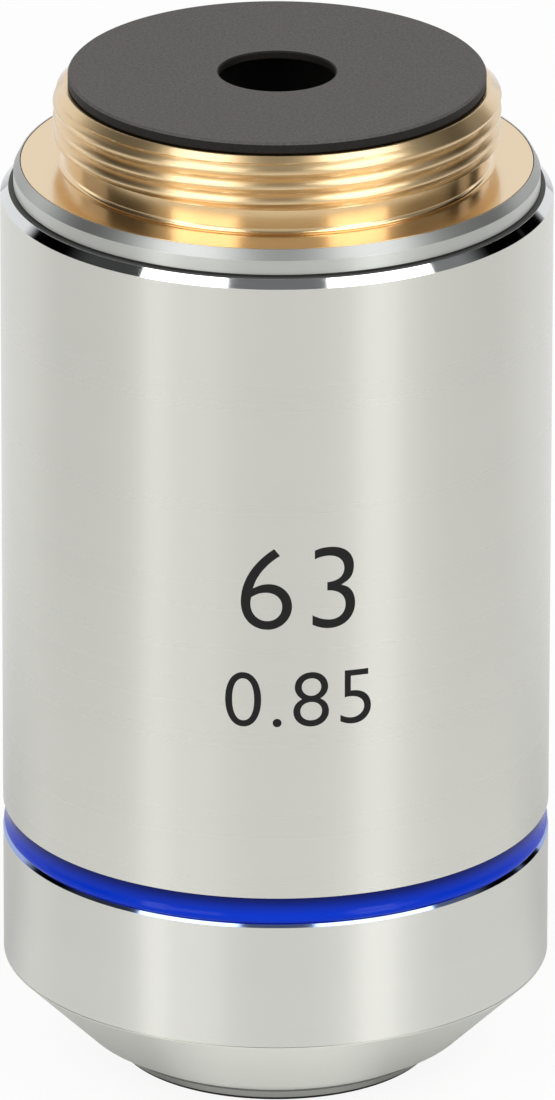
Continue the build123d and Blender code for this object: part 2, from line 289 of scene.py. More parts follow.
def painted_top_shade_group() -> Tree:
    """Painted shade on a coat: darker towards the upper edge of its groove, under the overhang
    above it.

    Returns:
        Group with a mask: 0 where the coat has the painted shade, 1 where it is lit.
    """
    shaded_from, lit_from = 1.0, 0.25
    group = GroupBuilder("pool", Low=0.0, High=1.0)
    height = group.split(group.add("ShaderNodeTexCoord").outputs["Object"])[2]
    span = group.math("SUBTRACT", group.inlet["High"], group.inlet["Low"])
    share = group.math("DIVIDE", group.math("SUBTRACT", height, group.inlet["Low"]), span)
    group.gives("Mask", group.ramp(share, shaded_from, lit_from))
    return group.tree


def tint_group() -> Tree:
    """Mix of two colours by a mask, and a roughness that follows the same mask.

    Returns:
        Group with a colour and a roughness.
    """
    group = GroupBuilder(
        "tint",
        Mask=0.0,
        Color_A=(0.8, 0.8, 0.8),
        Color_B=(0.7, 0.7, 0.7),
        Roughness_A=0.3,
        Roughness_B=0.4,
    )
    mix = group.add("ShaderNodeMix")
    mix.data_type = "RGBA"
    mixed = {socket.identifier: socket for socket in (*mix.inputs, *mix.outputs)}
    inlet = group.inlet
    group.link(inlet["Mask"], mixed["Factor_Float"])
    group.link(inlet["Color A"], mixed["A_Color"])
    group.link(inlet["Color B"], mixed["B_Color"])
    change = group.math("SUBTRACT", inlet["Roughness B"], inlet["Roughness A"])
    rough = group.math("ADD", inlet["Roughness A"], group.product(change, inlet["Mask"]))
    group.gives("Color", mixed["Result_Color"], Kind.COLOR)
    group.gives("Roughness", rough)
    return group.tree


@dataclass
class Workshop:
    """Node groups that the finishes share, each built once, and the materials made so far."""

    turning: Tree = field(default_factory=turning_group)
    mottle: Tree = field(default_factory=mottle_group)
    pool: Tree = field(default_factory=painted_top_shade_group)
    tint: Tree = field(default_factory=tint_group)
    made: dict[str, Material] = field(default_factory=dict)

    def material(self, finish: "Finish") -> Material:
        """Material of a finish, built at its first use.

        Args:
            finish: Finish to look up.

        Returns:
            The finish's material.
        """
        if finish.name not in self.made:
            self.made[finish.name] = finish.build(self)
        return self.made[finish.name]


# Finishes


class MaterialBuilder(Bench):
    """A material while it is being built: one Principled shader and the groups that feed it."""

    def __init__(self, name: str, shop: Workshop) -> None:
        """Start a material that holds one Principled shader.

        Args:
            name: Name of the material in plain words.
            shop: Shared node groups.
        """
        self.shop = shop
        self.material = bpy.data.materials.new(name)
        self.material.use_nodes = True
        super().__init__(self.material.node_tree)
        self.shader = self.tree.nodes["Principled BSDF"]

    def set(self, node: Node, **values: float | tuple) -> None:
        """Set plain values on a node's own sockets.

        Args:
            node: The node.
            values: Values by socket name; a blank in the name is written as an underscore.
        """
        for name, value in values.items():
            node.inputs[name.replace("_", " ")].default_value = value

    def group(self, tree: Tree, **values: float | tuple) -> Node:
        """Place a node group and set its inputs.

        Args:
            tree: The group.
            values: Input values by name, as in set.

        Returns:
            The group node.
        """
        node = self.add("ShaderNodeGroup")
        node.node_tree = tree
        self.set(node, **values)
        return node

    def bump(self, height: Socket, distance: float, strength: float) -> None:
        """Feed the shader's normal from a height.

        Args:
            height: Height from 0 to 1.
            distance: Depth of the relief in metres.
            strength: Strength from 0 to 1.
        """
        node = self.add("ShaderNodeBump")
        self.set(node, Distance=distance, Strength=strength)
        self.link(height, node.inputs["Height"])
        self.link(node.outputs["Normal"], self.shader.inputs["Normal"])

    def turned(self) -> None:
        """Stretch the gloss across circular tool lines."""
        quarter_turn = 0.25
        tangent = self.add("ShaderNodeTangent")
        tangent.direction_type = "RADIAL"
        tangent.axis = "Z"
        self.link(tangent.outputs["Tangent"], self.shader.inputs["Tangent"])
        self.set(self.shader, Anisotropic_Rotation=quarter_turn)


@dataclass(frozen=True)
class Finish:
    """What every finish has: a name, two close tones and two close roughnesses."""

    name: str
    color: Color
    tone: Color
    rough: float
    rough_tone: float

    def build(self, shop: Workshop) -> Material:
        """Build the material.

        Args:
            shop: Shared node groups.

        Returns:
            The new material.
        """
        maker = MaterialBuilder(self.name, shop)
        tint = maker.group(
            shop.tint,
            Color_A=(*self.color, 1.0),
            Color_B=(*self.tone, 1.0),
            Roughness_A=self.rough,
            Roughness_B=self.rough_tone,
        )
        maker.link(self.surface(maker), tint.inputs["Mask"])
        maker.link(tint.outputs["Color"], maker.shader.inputs["Base Color"])
        maker.link(tint.outputs["Roughness"], maker.shader.inputs["Roughness"])
        return maker.material

    def surface(self, maker: MaterialBuilder) -> Socket:
        """Give the shader the relief and the plain values of this kind of finish.

        Args:
            maker: Material under construction.

        Returns:
            Mask that picks between the two tones.
        """
        raise NotImplementedError


@dataclass(frozen=True)
class TurnedMetal(Finish):
    """Turned metal: circular tool lines that stretch the gloss along the axis."""

    spacing: float = 40e-6
    depth: float = 0.4e-6
    strength: float = 0.5
    stretch: float = 0.0
    lacquer: float = 0.0
    lacquer_rough: float = 0.1

    def surface(self, maker: MaterialBuilder) -> Socket:
        """Cut the tool lines.

        Args:
            maker: Material under construction.

        Returns:
            Mask that drifts slowly from line to line.
        """
        lines = maker.group(maker.shop.turning, Spacing=self.spacing)
        maker.bump(lines.outputs["Height"], self.depth, self.strength)
        maker.set(
            maker.shader,
            Metallic=1.0,
            Anisotropic=self.stretch,
            Coat_Weight=self.lacquer,
            Coat_Roughness=self.lacquer_rough,
        )
        maker.turned()
        return lines.outputs["Tone"]


@dataclass(frozen=True)
class Oxide(Finish):
    """Matte black coat on metal, with a fine speckle; darker and greyer copies of it also serve as
    painted shade.
    """

    grain: float = 50e-6
    depth: float = 2e-6
    strength: float = 0.4
    gloss: float = 0.5

    def surface(self, maker: MaterialBuilder) -> Socket:
        """Lay the speckle.

        Args:
            maker: Material under construction.

        Returns:
            Mask of the speckle.
        """
        speckle = maker.group(maker.shop.mottle, Grain=self.grain).outputs["Speckle"]
        maker.bump(speckle, self.depth, self.strength)
        maker.set(maker.shader, Specular_IOR_Level=self.gloss)
        return speckle


@dataclass(frozen=True)
class Enamel(Finish):
    """Gloss enamel, with painted shade that darkens it towards the upper edge of its groove."""

    gloss: float = 0.3
    low: float = 0.0
    high: float = 1.0
    ripple: float = 1.2e-3
    depth: float = 2e-6
    strength: float = 0.3

    def surface(self, maker: MaterialBuilder) -> Socket:
        """Paint shade on the coat's upper part, with a faint ripple on it.

        Args:
            maker: Material under construction.

        Returns:
            Mask of the painted shade: 0 in shade at the top, 1 lit lower down.
        """
        mottle = maker.group(maker.shop.mottle, Size=self.ripple)
        maker.bump(mottle.outputs["Clouds"], self.depth, self.strength)
        maker.set(maker.shader, Specular_IOR_Level=self.gloss)
        return maker.group(maker.shop.pool, Low=self.low, High=self.high).outputs["Mask"]


@dataclass(frozen=True)
class CoatedGlass(Finish):
    """Clear lens with a faint tinted coating."""

    ior: float = 1.6
    clouds: float = 3e-3

    def surface(self, maker: MaterialBuilder) -> Socket:
        """Let light through, with a mask of the coating's clouds."""
        maker.set(maker.shader, Metallic=0.0, Transmission_Weight=1.0, IOR=self.ior)
        return maker.group(maker.shop.mottle, Size=self.clouds).outputs["Clouds"]


def grey(tone: float) -> Color:
    """Neutral colour of a tone."""
    return (tone, tone, tone)


# Spacing, depth and strength of tool lines, and of grain, that several finishes share
SATIN_LINES = (45e-6, 0.5e-6, 0.35)
BRIGHT_LINES = (30e-6, 0.1e-6, 0.1)
FINE_LINES = (35e-6, 0.3e-6, 0.3)
COARSE_GRAIN = (110e-6, 8e-6, 0.5)

SATIN_CHROME = TurnedMetal(
    "satin chrome", (0.69, 0.69, 0.64), (0.685, 0.685, 0.635), 0.27, 0.275, *SATIN_LINES, 0.85
)
BAND_CHROME = TurnedMetal(
    "lower band chrome", (0.71, 0.71, 0.667), (0.7, 0.7, 0.657), 0.28, 0.285, *SATIN_LINES, 0.93
)
NOSE_CHROME = TurnedMetal(
    "nose chrome", (0.78, 0.79, 0.735), (0.77, 0.78, 0.725), 0.3, 0.31, *SATIN_LINES, 0.7
)
# Painted shade: a much darker copy of the nose chrome, for the tip that mirrors the shaded floor at
# its foot.
SHADED_TIP_CHROME = TurnedMetal(
    "tip chrome with painted shade", (0.45, 0.45, 0.42), (0.41, 0.41, 0.38), 0.34, 0.36, *SATIN_LINES, 0.6
)
BRIGHT_CHROME = TurnedMetal(
    "bright chrome", (0.72, 0.74, 0.75), (0.68, 0.7, 0.71), 0.05, 0.07, *BRIGHT_LINES, 0.3
)
# Painted reflection: chrome tinted blue, as if the groove's lower bevel mirrored the blue ring.
BLUE_REFLECTION_EDGE_CHROME = TurnedMetal(
    "groove edge chrome with painted blue reflection", (0.3, 0.4, 0.72), (0.28, 0.38, 0.7), 0.08, 0.1, *BRIGHT_LINES, 0.3
)
RIM_CHROME = TurnedMetal(
    "rim wall chrome", (0.6, 0.61, 0.58), (0.56, 0.57, 0.54), 0.33, 0.36, *FINE_LINES, 0.9
)
FINE_CHROME = TurnedMetal(
    "rim bevel chrome", (0.4, 0.41, 0.4), (0.36, 0.37, 0.36), 0.34, 0.38, *FINE_LINES
)
TURNED_BRASS = TurnedMetal(
    "turned brass", (0.77, 0.56, 0.3), (0.75, 0.54, 0.28), 0.18, 0.22, 60e-6, 0.8e-6, 0.35, 0.6, 1.0
)
THREAD_BRASS = TurnedMetal(
    "thread brass", (0.79, 0.58, 0.32), (0.76, 0.55, 0.29), 0.29, 0.33, 50e-6, 0.6e-6, 0.3, 0.8, 1.0
)
SPRING_WIRE = TurnedMetal(
    "drawn wire", (0.55, 0.55, 0.54), grey(0.42), 0.25, 0.32, 80e-6, 0.8e-6, 0.4, 0.2
)
GROUND_STEEL = TurnedMetal(
    "ground steel", grey(0.5), (0.42, 0.42, 0.43), 0.22, 0.3, 50e-6, 0.6e-6, 0.4, 0.3
)
BLACK_ANODISED = Oxide(
    "black anodised", (0.079, 0.071, 0.069), (0.054, 0.047, 0.045), 0.6, 0.66, *COARSE_GRAIN
)
# Painted shade: a darker, less glossy copy of the black anodising, for the disc's side and the
# aperture's bevel.
SHADED_STOP_EDGE = Oxide(
    "stop edge with painted shade", (0.014, 0.012, 0.011), (0.009, 0.008, 0.007), 0.55, 0.6, *COARSE_GRAIN, 0.2
)
BORE_BLACK = Oxide("bore black", (0.016, 0.015, 0.014), grey(0.01), 0.7, 0.8)
# Painted shade: dark finishes laid in the seams and in the mouth of the nose and round the tip.
SEAM_SHADE = Oxide("seam shade", (0.075, 0.075, 0.072), (0.06, 0.06, 0.058), 0.6, 0.7)
MOUTH_SHADE = Oxide("mouth shade", (0.16, 0.16, 0.15), (0.13, 0.13, 0.12), 0.5, 0.6)
BLACK_OXIDE = Oxide("black oxide", (0.04, 0.036, 0.032), (0.06, 0.05, 0.04), 0.5, 0.62)
# Painted contact shadow: a thin black band on the tip's foot bevel, where it meets the floor.
CONTACT_SHADOW_PAINT = Oxide("painted contact shadow", grey(0.006), grey(0.008), 0.6, 0.7, gloss=0.1)
MARKING_PAINT = Oxide("marking paint", grey(0.007), grey(0.01), 0.6, 0.7, gloss=0.2)
# Painted shade: the enamel's colour is the dark blue at the top of the groove, its tone the lit
# blue lower down.
BLUE_ENAMEL = Enamel("blue enamel", (0.001, 0.007, 0.1), (0.0, 0.03, 0.5), 0.16, 0.12, 0.12)
LENS_GLASS = CoatedGlass("coated glass", (0.94, 0.97, 0.96), (0.9, 0.94, 0.98), 0.0, 0.01)


# Turned shapes


@dataclass(frozen=True)
class Corner:
    """One corner of a turned profile, in metres, and the finish of the run that starts there."""

    r: float
    z: float
    finish: Finish
    rounding: float = 0.0

    @property
    def point(self) -> np.ndarray:
        """Radius and height."""
        return np.array([self.r, self.z])


Row = tuple[float | np.ndarray, float, Finish]


def run(finish: Finish, *spots: tuple[float, ...]) -> list[Corner]:
    """Corners that follow each other in one finish, each of radius, height and any rounding."""
    return [Corner(r, z, finish, *rounding) for r, z, *rounding in spots]


def arc_rows(before: Corner, here: Corner, after: Corner, steps: int) -> list[Row]:
    """Rows of a corner, rounded by an arc where it has a rounding radius.

    Args:
        before: Corner before this one.
        here: Corner to round.
        after: Corner after this one.
        steps: Number of arc steps.

    Returns:
        Rows from the end of the run before to the start of the run after.
    """
    nearly_straight, most_of_run = math.radians(175), 0.45
    back, ahead = before.point - here.point, after.point - here.point
    back_length, ahead_length = np.linalg.norm(back), np.linalg.norm(ahead)
    back, ahead = back / back_length, ahead / ahead_length
    angle = math.acos(float(np.clip(back @ ahead, -1, 1)))
    if here.rounding <= 0 or angle > nearly_straight:
        return [(here.r, here.z, here.finish)]
    half = math.tan(angle / 2)
    reach = min(here.rounding / half, most_of_run * back_length, most_of_run * ahead_length)
    middle = back + ahead
    inwards = middle / np.linalg.norm(middle) * (reach * half) / math.sin(angle / 2)
    start, end = back * reach - inwards, ahead * reach - inwards
    sweep = math.pi - angle
    rows = []
    for step in range(steps + 1):
        share = step / steps
        first = math.sin((1 - share) * sweep) / math.sin(sweep)
        second = math.sin(share * sweep) / math.sin(sweep)
        r, z = here.point + inwards + first * start + second * end
        rows.append((float(r), float(z), before.finish if share < 0.5 else here.finish))
    return rows


def profile_rows(corners: Sequence[Corner], steps: int = 5) -> list[Row]:
    """Rows of a closed turned profile with its rounded corners.

    Args:
        corners: Corners in order round the profile.
        steps: Number of steps of each rounding.

    Returns:
        Rows in order round the profile.
    """
    rows: list[Row] = []
    for index, here in enumerate(corners):
        after = corners[(index + 1) % len(corners)]
        rows += arc_rows(corners[index - 1], here, after, steps)
    return rows


def unit(vectors: np.ndarray) -> np.ndarray:
    """Vectors scaled to length 1, along the last axis."""
    return vectors / np.maximum(np.linalg.norm(vectors, axis=-1, keepdims=True), 1e-12)


def row_normals(
    radii: np.ndarray, heights: np.ndarray, crease: float
) -> tuple[np.ndarray, np.ndarray]:
    """Normals at both rims of every run of a turned profile.

    Args:
        radii: Radius of each row at each segment.
        heights: Height of each row at each segment.
        crease: Angle in degrees from which a corner stays sharp.

    Returns:
        Normals at the first and at the second rim of each run, in radial, tangential and axial
        parts.
    """
    after = np.roll(radii, -1, axis=0)
    outward, upward = after - radii, np.roll(heights, -1, axis=0) - heights
    mean = (radii + after) / 2
    change = np.roll(mean, -1, axis=1) - np.roll(mean, 1, axis=1)
    swing = change * radii.shape[1] / (4 * math.pi)
    runs = np.stack([upward, -upward * swing / mean, -outward], axis=-1)
    before = np.roll(runs, 1, axis=0)
    likeness = (unit(runs) * unit(before)).sum(axis=-1, keepdims=True)
    alike = likeness > math.cos(math.radians(crease))
    blend = unit(runs + before)
    first = np.where(alike, blend, unit(runs))
    second = np.roll(np.where(alike, blend, unit(before)), -1, axis=0)
    return first, second


def around(parts: np.ndarray, turn: np.ndarray) -> np.ndarray:
    """Vectors in space from their radial, tangential and axial parts.

    Args:
        parts: Parts of the vectors, one row of vectors for each row of the profile.
        turn: Angle of each segment.

    Returns:
        Vectors of the same shape.
    """
    radial, along, axial = parts[..., 0], parts[..., 1], parts[..., 2]
    across = radial * np.cos(turn) - along * np.sin(turn)
    away = radial * np.sin(turn) + along * np.cos(turn)
    return np.stack([across, away, axial], axis=-1)


def quads(lower: np.ndarray, upper: np.ndarray) -> np.ndarray:
    """Values at the four corners of every face, from those at the two rims of its run.

    Args:
        lower: Values at the first rim of each run, one a segment.
        upper: Values at the second rim.

    Returns:
        The values in the order of the faces' corners, along a new axis after the segments'.
    """
    corners = [lower, np.roll(lower, -1, axis=1), np.roll(upper, -1, axis=1), upper]
    return np.stack(corners, axis=2)


def ring_mesh(name: str, rows: Sequence[Row], segments: int, crease: float) -> Mesh:
    """Mesh of a closed profile turned round the optical axis, with its exact normals.

    Args:
        name: Mesh name.
        rows: Radius, height and finish of each row, anticlockwise round the profile; a radius may
            be an array with one value a segment.
        segments: Number of segments round the axis.
        crease: Angle in degrees from which a corner stays sharp.

    Returns:
        The mesh, with its faces facing outwards and numbered by finish.
    """
    turn = np.arange(segments) * (2 * math.pi / segments)
    radii = np.stack([np.broadcast_to(row[0], segments) for row in rows]).astype(float)
    heights = np.stack([np.full(segments, row[1]) for row in rows])
    points = around(np.stack([radii, np.zeros_like(radii), heights], axis=-1), turn)
    index = np.arange(radii.size).reshape(radii.shape)
    faces = quads(index, np.roll(index, -1, axis=0))
    mesh = bpy.data.meshes.new(name)
    mesh.from_pydata(points.reshape(-1, 3).tolist(), [], faces.reshape(-1, 4).tolist())
    finishes = row_finishes(rows)
    numbers = np.repeat([finishes.index(row[2]) for row in rows], segments)
    mesh.polygons.foreach_set("material_index", numbers.astype(np.int32))
    mesh.shade_smooth()
    mesh.update()
    first, second = (around(normals, turn) for normals in row_normals(radii, heights, crease))
    mesh.normals_split_custom_set(quads(first, second).reshape(-1, 3).tolist())
    return mesh


def row_finishes(rows: Sequence[Row]) -> list[Finish]:
    """Finishes of a profile, in the order in which they first come."""
    return list(dict.fromkeys(row[2] for row in rows))


def smooth(mesh: Mesh) -> None:
    """Turn the faces of a mesh outwards and shade it smooth but for its sharp creases.

    Args:
        mesh: The mesh.
    """
    shape = bmesh.new()
    shape.from_mesh(mesh)
    bmesh.ops.recalc_face_normals(shape, faces=shape.faces)
    shape.to_mesh(mesh)
    shape.free()
    mesh.shade_smooth()
    mesh.set_sharp_from_angle(angle=math.radians(CREASE))
    mesh.update()


def put(name: str, data: bpy.types.ID) -> Piece:
    """Object of a mesh, curve, lamp or camera, put in the scene.

    Args:
        name: Object's name.
        data: What it shows.

    Returns:
        The new object.
    """
    piece = bpy.data.objects.new(name, data)
    bpy.context.scene.collection.objects.link(piece)
    return piece


def add_piece(name: str, mesh: Mesh, *materials: Material) -> Piece:
    """Object of a mesh with its materials, put in the scene.

    Args:
        name: Piece's name.
        mesh: Its mesh.
        materials: Materials in the order of the mesh's finish numbers.

    Returns:
        The new object.
    """
    for material in materials:
        mesh.materials.append(material)
    return put(name, mesh)


def settle(piece: Piece, side: Side, slot: Slot, *nodes: str) -> None:
    """Tie a piece to its body and hide the nodes that it stands for.

    Args:
        piece: The piece.
        side: Body that it rides on.
        slot: Material slot of the record; not used.
        nodes: Nodes that it replaces.
    """
    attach(piece, side.value)
    if nodes:
        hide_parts(*nodes)
    log.info("%s: %d faces on %s", piece.name, len(piece.data.polygons), side.value)


@dataclass(frozen=True)
class Extent:
    """Largest radius and both ends of a solid about the optical axis."""

    radius: float
    low: float
    high: float

    @classmethod
    def of(cls, node: str) -> "Extent":
        """Extent of a node's solid."""
        low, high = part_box(node)
        return cls(high.x, low.z, high.z)


# Sub-assemblies


@dataclass
class TurnedPiece:
    """A turned piece that shows, in the place of one node's solid."""

    shop: Workshop
    name: str = ""
    node: str = ""
    slot: Slot = Slot.SATIN
    side: Side = Side.FIXED
    segments: int = 320
    crease: float = CREASE

    def corners(self) -> list[Corner]:
        """Corners of the closed profile, anticlockwise."""
        raise NotImplementedError

    def rows(self) -> list[Row]:
        """Rows of the profile."""
        return profile_rows(self.corners())

    def build(self) -> None:
        """Turn the piece and dress it in the finishes of its profile."""
        rows = self.rows()
        mesh = ring_mesh(self.name, rows, self.segments, self.crease)
        materials = [self.shop.material(finish) for finish in row_finishes(rows)]
        settle(add_piece(self.name, mesh, *materials), self.side, self.slot, self.node)


@dataclass
class CoverSleeve(TurnedPiece):
    """Satin cover sleeve, with its polished top bevel and the groove of the colour ring."""

    name: str = "cover_sleeve"
    node: str = "outer_sleeve"
    wall: float = 0.75 * MM
    bevel: float = 0.36 * MM
    seam_bevel: float = 0.03 * MM
    groove_depth: float = 0.35 * MM
    groove_bevel: float = 0.18 * MM
    edge_round: float = 0.025 * MM
    plate_inset: float = 0.006 * MM

    def corners(self) -> list[Corner]:
        """Profile of the sleeve, from its lower outer edge upwards.

        Returns:
            Corners of the closed profile.
        """
        sleeve, ring = Extent.of(self.node), Extent.of("color_ring")
        radius = sleeve.radius - self.plate_inset
        floor = radius - self.groove_depth
        bore = radius - self.wall
        edge = self.edge_round
        return [
            *run(
                BAND_CHROME,
                (radius - self.seam_bevel, sleeve.low),
                (radius, sleeve.low + self.seam_bevel, edge),
            ),
            # The groove's lower bevel, in chrome with a painted blue reflection.
            *run(
                BLUE_REFLECTION_EDGE_CHROME,
                (radius, ring.low - self.groove_bevel, edge / 2),
                (radius - self.groove_bevel, ring.low, edge / 2),
            ),
            *run(SATIN_CHROME, (floor, ring.low), (floor, ring.high), (radius, ring.high, edge)),
            *run(BRIGHT_CHROME, (radius, sleeve.high - self.bevel, edge / 2)),
            *run(SEAM_SHADE, (radius - self.bevel, sleeve.high, edge)),
            *run(SATIN_CHROME, (bore, sleeve.high, edge), (bore, sleeve.low)),
        ]


@dataclass
class ColorRing(TurnedPiece):
    """Blue enamel in the sleeve's groove, which sagged a little before it hardened.

    The sag is a list of points from the lower edge up: share of the ring's height, and share of the
    sag's depth by which the surface lies inside its fullest radius.
    """

    name: str = "enamel_ring"
    node: str = "color_ring"
    slot: Slot = Slot.ENAMEL
    crease: float = 60.0
    proud: float = 0.035 * MM
    sag_depth: float = 0.14 * MM
    sag: tuple[Span, ...] = (
        (0.0, 0.9), (0.02, 0.5), (0.05, 0.2), (0.09, 0.03), (0.13, 0.0), (0.18, 0.05), (0.24, 0.2),
        (0.3, 0.42), (0.37, 0.64), (0.46, 0.8), (0.6, 0.9), (0.8, 0.97), (1.0, 1.0),
    )

    def rows(self) -> list[Row]:
        """Rows of the sagged enamel, from the groove's floor out and back.

        Returns:
            Rows in order round the profile.
        """
        ring = Extent.of(self.node)
        # The ring's ends place the enamel's painted shade.
        enamel = replace(BLUE_ENAMEL, low=ring.low, high=ring.high)
        full = ring.radius + self.proud
        floor = Extent.of("outer_sleeve").radius - CoverSleeve.groove_depth
        face = [
            (full - self.sag_depth * inside, ring.low + (ring.high - ring.low) * up, enamel)
            for up, inside in self.sag
        ]
        return [(floor, ring.low, enamel), *face, (floor, ring.high, enamel)]


@dataclass
class BarrelRim(TurnedPiece):
    """Main barrel, of which only the bevelled rim round the brass shows."""

    name: str = "barrel_rim"
    node: str = "main_barrel"
    slot: Slot = Slot.BRIGHT
    wall_height: float = 0.67 * MM
    bevel_width: float = 0.25 * MM
    land: float = 0.05 * MM
    seat_depth: float = 0.9 * MM
    seam: float = 0.11 * MM
    edge_round: float = 0.03 * MM
    spring_ledge_width: float = 1.15 * MM
    seat_ledge_width: float = 1.0 * MM
    skin: float = 0.78 * MM
    foot_wall: float = 1.14 * MM

    def corners(self) -> list[Corner]:
        """Profile of the barrel, from its lower outer edge upwards.

        Returns:
            Corners of the closed profile.
        """
        barrel, sleeve = Extent.of(self.node), Extent.of("outer_sleeve")
        radius = barrel.radius
        outside = sleeve.radius - self.skin
        rim_bottom = sleeve.high + self.seam
        rim_bore = radius - self.bevel_width - self.land
        seat = barrel.high - self.seat_depth
        seat_bore = rim_bore - self.seat_ledge_width
        guide = seat_bore - self.spring_ledge_width
        foot = outside - self.foot_wall
        spring_top = Extent.of("spring_seat").low
        stop = Extent.of("nose_cone").high
        edge = self.edge_round
        return [
            *run(SEAM_SHADE, (outside, barrel.low), (outside, rim_bottom)),
            *run(RIM_CHROME, (radius, rim_bottom, edge)),
            *run(
                FINE_CHROME,
                (radius, rim_bottom + self.wall_height, edge),
                (radius - self.bevel_width, barrel.high, edge / 2),
            ),
            *run(
                SATIN_CHROME,
                (rim_bore, barrel.high, edge / 2),
                (rim_bore, seat),
                (seat_bore, seat),
                (seat_bore, spring_top),
                (guide, spring_top),
                (guide, stop),
                (foot, stop),
                (foot, barrel.low),
            ),
        ]


@dataclass
class MountingThread(TurnedPiece):
    """Brass mounting ring with its thread cut as a right-handed helix."""

    name: str = "mounting_thread"
    node: str = "mounting_ring"
    slot: Slot = Slot.BRASS
    segments: int = 360
    crease: float = 50.0
    pitch: float = INCH / 36
    depth_share: float = 0.42
    crest_front: float = 46.29 * MM
    thread_length: float = 2.55 * MM
    lead_in: float = 0.5 * MM
    runout_slope: float = 4.0
    relief_height: float = 1.1 * MM
    relief_depth: float = 0.515 * MM
    wall: float = 1.6 * MM
    dish_depth: float = 0.05 * MM
    dish_margin: float = 0.1 * MM
    flange_overhang: float = 1.455 * MM
    flange_thickness: float = 0.9 * MM
    spigot_inset: float = 1.0 * MM
    edge_round: float = 0.06 * MM
    neck_round: float = 0.3 * MM
    row_step: float = 0.02 * MM

    def cut(self, height: float, radius: float) -> np.ndarray:
        """Radius of the thread all round at one height.

        Args:
            height: Height of the row.
            radius: Major radius of the thread.

        Returns:
            One radius a segment.
        """
        turn = np.arange(self.segments) * (2 * math.pi / self.segments)
        phase = (height - self.crest_front) / self.pitch - (turn - FRONT) / (2 * math.pi)
        depth = self.depth_share * self.pitch
        return radius - depth * (1 - np.abs(np.cos(math.pi * phase)))

    def thread_rows(self, low: float, high: float, radius: float, relief: float) -> list[Row]:
        """Rows of the threaded stretch, with the runout below and the lead-in above.

        Args:
            low: Lower end of the thread.
            high: Upper end of the ring.
            radius: Major radius.
            relief: Radius of the relief groove.

        Returns:
            Rows from the lower to the upper end.
        """
        count = round((high - low) / self.row_step)
        rows: list[Row] = []
        for step in range(count + 1):
            height = low + (high - low) * step / count
            bound = radius - max(0.0, height - (high - self.lead_in))
            runout = relief + (height - low) * self.runout_slope
            cut = np.minimum(self.cut(height, radius), min(bound, runout))
            rows.append((cut, height, THREAD_BRASS))
        return rows

    def rows(self) -> list[Row]:
        """Rows of the ring: plain up to the relief groove, then the thread and the bore.

        Returns:
            Rows in order round the profile.
        """
        ring = Extent.of(self.node)
        radius = ring.radius - self.flange_overhang
        relief = radius - self.relief_depth
        bore = relief - self.wall
        spigot = ring.radius - self.spigot_inset
        thread_low = ring.high - self.thread_length
        shoulder = thread_low - self.relief_height
        flange_low = shoulder - self.flange_thickness
        thread_ends = [(relief, thread_low), (bore, thread_low)]
        corners = run(
            TURNED_BRASS,
            (bore, ring.low),
            (spigot, ring.low),
            (spigot, flange_low),
            (ring.radius, flange_low),
            (ring.radius, shoulder, self.edge_round / 2),
            (radius + self.dish_margin, shoulder),
            (relief, shoulder - self.dish_depth, self.neck_round),
            *thread_ends,
        )
        return [
            *profile_rows(corners)[: -len(thread_ends)],
            *self.thread_rows(thread_low, ring.high, radius, relief),
            (radius - self.lead_in - self.edge_round, ring.high, TURNED_BRASS),
            (bore, ring.high, TURNED_BRASS),
        ]


@dataclass
class RearStop(TurnedPiece):
    """Black disc with the round aperture, and its tubular end in the mounting ring."""

    name: str = "stop_disc"
    node: str = "rear_stop"
    slot: Slot = Slot.ANODISED
    segments: int = 256
    aperture: float = 2.65 * MM
    aperture_bevel: float = 0.06 * MM
    web: float = 0.35 * MM
    disc: float = 0.5 * MM
    undercut: float = 0.25 * MM
    edge_bevel: float = 0.1 * MM
    spigot_inset: float = 1.465 * MM
    spigot_wall: float = 1.57 * MM
    edge_round: float = 0.03 * MM

    def corners(self) -> list[Corner]:
        """Profile of the stop, from the bore under the disc downwards.

        Returns:
            Corners of the closed profile.
        """
        stop = Extent.of(self.node)
        radius, high = stop.radius, stop.high
        thread_top = Extent.of("mounting_ring").high
        spigot = radius - self.spigot_inset
        bore = spigot - self.spigot_wall
        step = radius - self.undercut
        edge = self.edge_round
        return [
            *run(
                BORE_BLACK,
                (bore, high - self.web),
                (bore, stop.low),
                (spigot, stop.low),
                (spigot, thread_top),
                (step, thread_top),
                (step, high - self.disc),
            ),
            # Painted shade on the disc's side.
            *run(SHADED_STOP_EDGE, (radius, high - self.disc, edge)),
            *run(
                BLACK_ANODISED,
                (radius, high - self.edge_bevel, edge),
                (radius - self.edge_bevel, high, edge),
            ),
            # Painted shade on the aperture's bevel.
            *run(
                SHADED_STOP_EDGE,
                (self.aperture + self.aperture_bevel, high, edge / 3),
                (self.aperture, high - self.aperture_bevel, edge / 3),
            ),
            *run(BORE_BLACK, (self.aperture, high - self.web)),
        ]


@dataclass
class NoseCone(TurnedPiece):
    """Satin nose with a flat cone, a steep cone, the mouth and the threaded end."""

    name: str = "nose_shell"
    node: str = "nose_cone"
    mouth: float = 8.0 * MM
    mouth_length: float = 1.6 * MM
    mouth_lip: float = 0.7 * MM
    land: float = 1.0 * MM
    land_rise: float = 0.56 * MM
    land_above: float = 0.04 * MM
    spigot_inset: float = 1.95 * MM
    edge_round: float = 0.04 * MM

    def corners(self) -> list[Corner]:
        """Profile of the nose, from its mouth outwards.

        Returns:
            Corners of the closed profile.
        """
        nose = Extent.of(self.node)
        seam = Extent.of("outer_sleeve").low
        spigot = nose.radius - self.spigot_inset
        bore = self.mouth + self.mouth_lip
        lip_top = nose.low + self.mouth_length
        edge = self.edge_round
        return [
            *run(
                NOSE_CHROME,
                (self.mouth, nose.low, edge),
                (self.mouth + self.land, nose.low + self.land_rise, edge),
                (nose.radius, seam - self.land_above, edge),
                (nose.radius, seam),
                (spigot, seam),
                (spigot, nose.high),
                (bore, nose.high),
            ),
            *run(MOUTH_SHADE, (bore, lip_top), (self.mouth, lip_top)),
        ]


